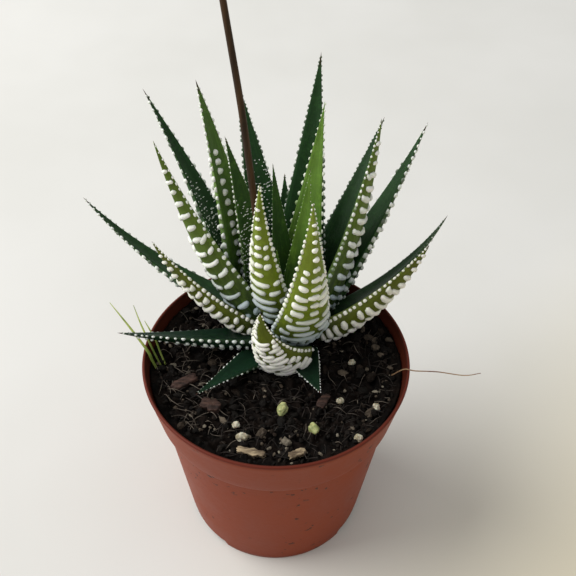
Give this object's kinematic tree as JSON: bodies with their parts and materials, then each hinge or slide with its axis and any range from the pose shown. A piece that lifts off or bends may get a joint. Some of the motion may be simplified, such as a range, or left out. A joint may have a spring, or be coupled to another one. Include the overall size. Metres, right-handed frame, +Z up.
{
  "type": "potted haworthia",
  "caption": "Small rosette succulent with banded, warty pointed leaves and a dry flower stalk, in a thin tapered plastic nursery pot filled with peat soil.",
  "frame": {"origin": "centre of the pot's flat underside, on the surface it stands on", "axes": "+Z up; +X to the right and -Y towards the side the plant is usually seen from, where the rosette's low front leaf points"},
  "size_m": [0.0902, 0.0745, 0.1461],
  "materials": {
    "pot_plastic": "satin terracotta-coloured moulded plastic",
    "soil": "dark damp peat, matt and fibrous",
    "leaf": "waxy green leaf skin with raised cream-white bands and beads",
    "stem": "pale matt plant stem",
    "root": "matt fibrous root",
    "dry_stalk": "dry reddish-brown stalk",
    "grass": "thin yellow-green grass blade",
    "straw": "dry brown fibre",
    "pale_grain": "rough pale mineral grain",
    "bark": "rough composted bark"
  },
  "bodies": {
    "root": {"bark_chip_1": "bark", "bark_chip_2": "bark", "bark_chip_3": "bark", "bark_chip_4": "bark", "bark_chip_5": "bark", "flower_stalk": "dry_stalk", "grain_1": "pale_grain", "grain_2": "pale_grain", "grain_3": "pale_grain", "grain_4": "pale_grain", "grain_5": "pale_grain", "grain_6": "pale_grain", "grain_7": "pale_grain", "grain_8": "pale_grain", "grass_blade_1": "grass", "grass_blade_2": "grass", "grass_blade_3": "grass", "leaf_01_centre": "leaf", "leaf_02_centre": "leaf", "leaf_03_back": "leaf", "leaf_04_front_left": "leaf", "leaf_05_left": "leaf", "leaf_06_right": "leaf", "leaf_07_back": "leaf", "leaf_08_left": "leaf", "leaf_09_front": "leaf", "leaf_10_back": "leaf", "leaf_11_right": "leaf", "leaf_12_right": "leaf", "leaf_13_left": "leaf", "leaf_14_left": "leaf", "leaf_15_back": "leaf", "leaf_16_right": "leaf", "leaf_17_left": "leaf", "leaf_18_right": "leaf", "leaf_19_left": "leaf", "leaf_20_back": "leaf", "leaf_21_back": "leaf", "leaf_22_back": "leaf", "leaf_23_back": "leaf", "leaf_24_front": "leaf", "leaf_25_left": "leaf", "leaf_26_front": "leaf", "leaf_27_front_left": "leaf", "leaf_bud_1": "leaf", "leaf_bud_2": "leaf", "pot": "pot_plastic", "root_1": "root", "root_2": "root", "root_3": "root", "root_4": "root", "root_5": "root", "soil": "soil", "stem": "stem", "straw_fibre": "straw"}
  },
  "joints": []
}
